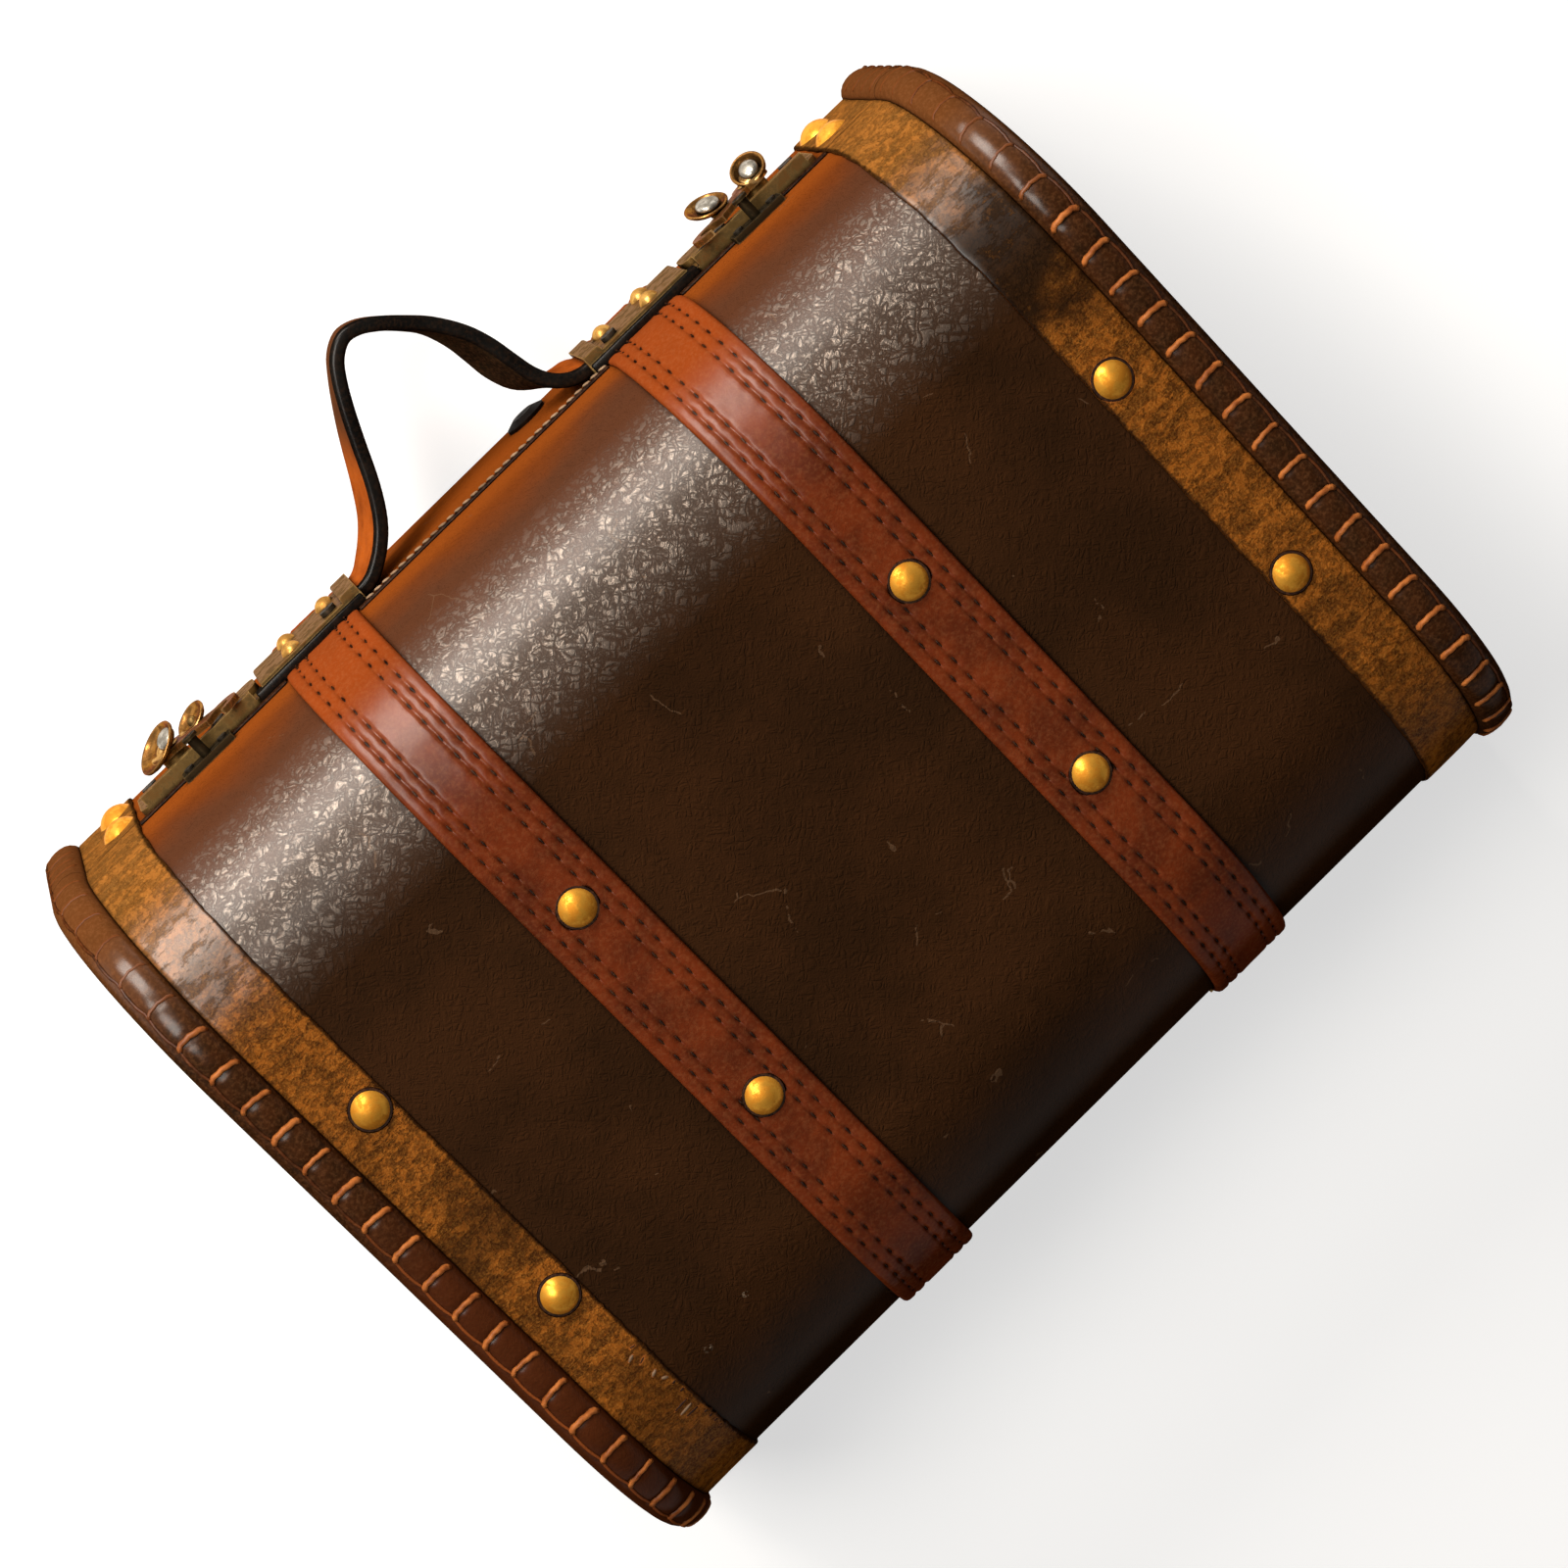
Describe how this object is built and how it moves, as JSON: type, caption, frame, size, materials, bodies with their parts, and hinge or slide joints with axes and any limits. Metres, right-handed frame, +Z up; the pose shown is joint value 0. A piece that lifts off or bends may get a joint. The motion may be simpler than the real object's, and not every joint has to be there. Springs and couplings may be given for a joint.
{
  "type": "storage chest",
  "caption": "Leather-covered wooden box lying on its back, with a bent hinged lid, rolled rims, straps, a strap handle and swing-hook latches.",
  "frame": {"origin": "on the floor under the middle of the whole object, handle and hinges included: midway between the two rims, 25.22 mm in front of the middle of the case", "axes": "+X along the length to the right seen from the front, -Y out of the front with the handle and latches, +Z up from the base to the lid"},
  "size_m": [0.3344, 0.312, 0.13],
  "materials": {
    "antique_brass": "antique, dark in the hollows",
    "brass_studs": "polished, worn",
    "bright_brass": "polished, worn",
    "dark_cap": "black, glossy",
    "dark_screws": "dark, worn",
    "gold_rivets": "polished",
    "grained_cover": "grained and wrinkled, satin",
    "handle_leather": "waxed, black edges",
    "hide_band": "mottled hair-on hide, matt",
    "lining": "woven, matt",
    "rolled_rim": "whip-stitched, glossy",
    "strap_leather": "waxed, stitched",
    "wood": "bare board, matt"
  },
  "bodies": {
    "base": {"base_band_left": "hide_band", "base_band_right": "hide_band", "base_band_studs": "brass_studs", "base_cover": "grained_cover", "base_end_board_left": "wood", "base_end_board_right": "wood", "base_end_cover_left": "grained_cover", "base_end_cover_right": "grained_cover", "base_lining": "lining", "base_rim_left": "rolled_rim", "base_rim_right": "rolled_rim", "base_strap_left": "strap_leather", "base_strap_right": "strap_leather", "bottom_board": "wood", "bracket_rivets": "gold_rivets", "bracket_screws": "dark_screws", "front_board": "wood", "front_button": "dark_cap", "handle_bracket_left": "antique_brass", "handle_bracket_right": "antique_brass", "handle_strap": "handle_leather", "hinge_base_leaf_left": "antique_brass", "hinge_base_leaf_right": "antique_brass", "hinge_base_screws": "dark_screws", "hinge_pin_left": "antique_brass", "hinge_pin_right": "antique_brass", "latch_pivot_left": "bright_brass", "latch_pivot_right": "bright_brass", "latch_plate_left": "antique_brass", "latch_plate_right": "antique_brass", "latch_screws": "dark_screws", "rear_board": "wood"},
    "lid": {"hinge_lid_leaf_left": "antique_brass", "hinge_lid_leaf_right": "antique_brass", "hinge_lid_screws": "dark_screws", "keeper_screws": "dark_screws", "latch_keeper_left": "antique_brass", "latch_keeper_right": "antique_brass", "lid_band_left": "hide_band", "lid_band_right": "hide_band", "lid_band_studs": "brass_studs", "lid_cover": "grained_cover", "lid_end_board_left": "wood", "lid_end_board_right": "wood", "lid_end_cover_left": "grained_cover", "lid_end_cover_right": "grained_cover", "lid_lining": "lining", "lid_panel": "wood", "lid_rim_left": "rolled_rim", "lid_rim_right": "rolled_rim", "lid_strap_left": "strap_leather", "lid_strap_right": "strap_leather", "lid_strap_studs": "brass_studs"},
    "hook_left": {"latch_disc_left": "bright_brass", "latch_hook_left": "bright_brass"},
    "hook_right": {"latch_disc_right": "bright_brass", "latch_hook_right": "bright_brass"}
  },
  "joints": [
    {"name": "lid_hinge", "type": "hinge", "parent": "base", "child": "lid", "pos_m": [0, 0.15342, 0.0585], "axis": [-1, 0, 0], "range_deg": [0, 105]},
    {"name": "hook_swivel_left", "type": "hinge", "parent": "base", "child": "hook_left", "pos_m": [-0.1135, -0.10428, 0.042], "axis": [0, 1, 0], "range_deg": [-35, 80]},
    {"name": "hook_swivel_right", "type": "hinge", "parent": "base", "child": "hook_right", "pos_m": [0.1135, -0.10428, 0.042], "axis": [0, -1, 0], "range_deg": [-35, 80]}
  ]
}
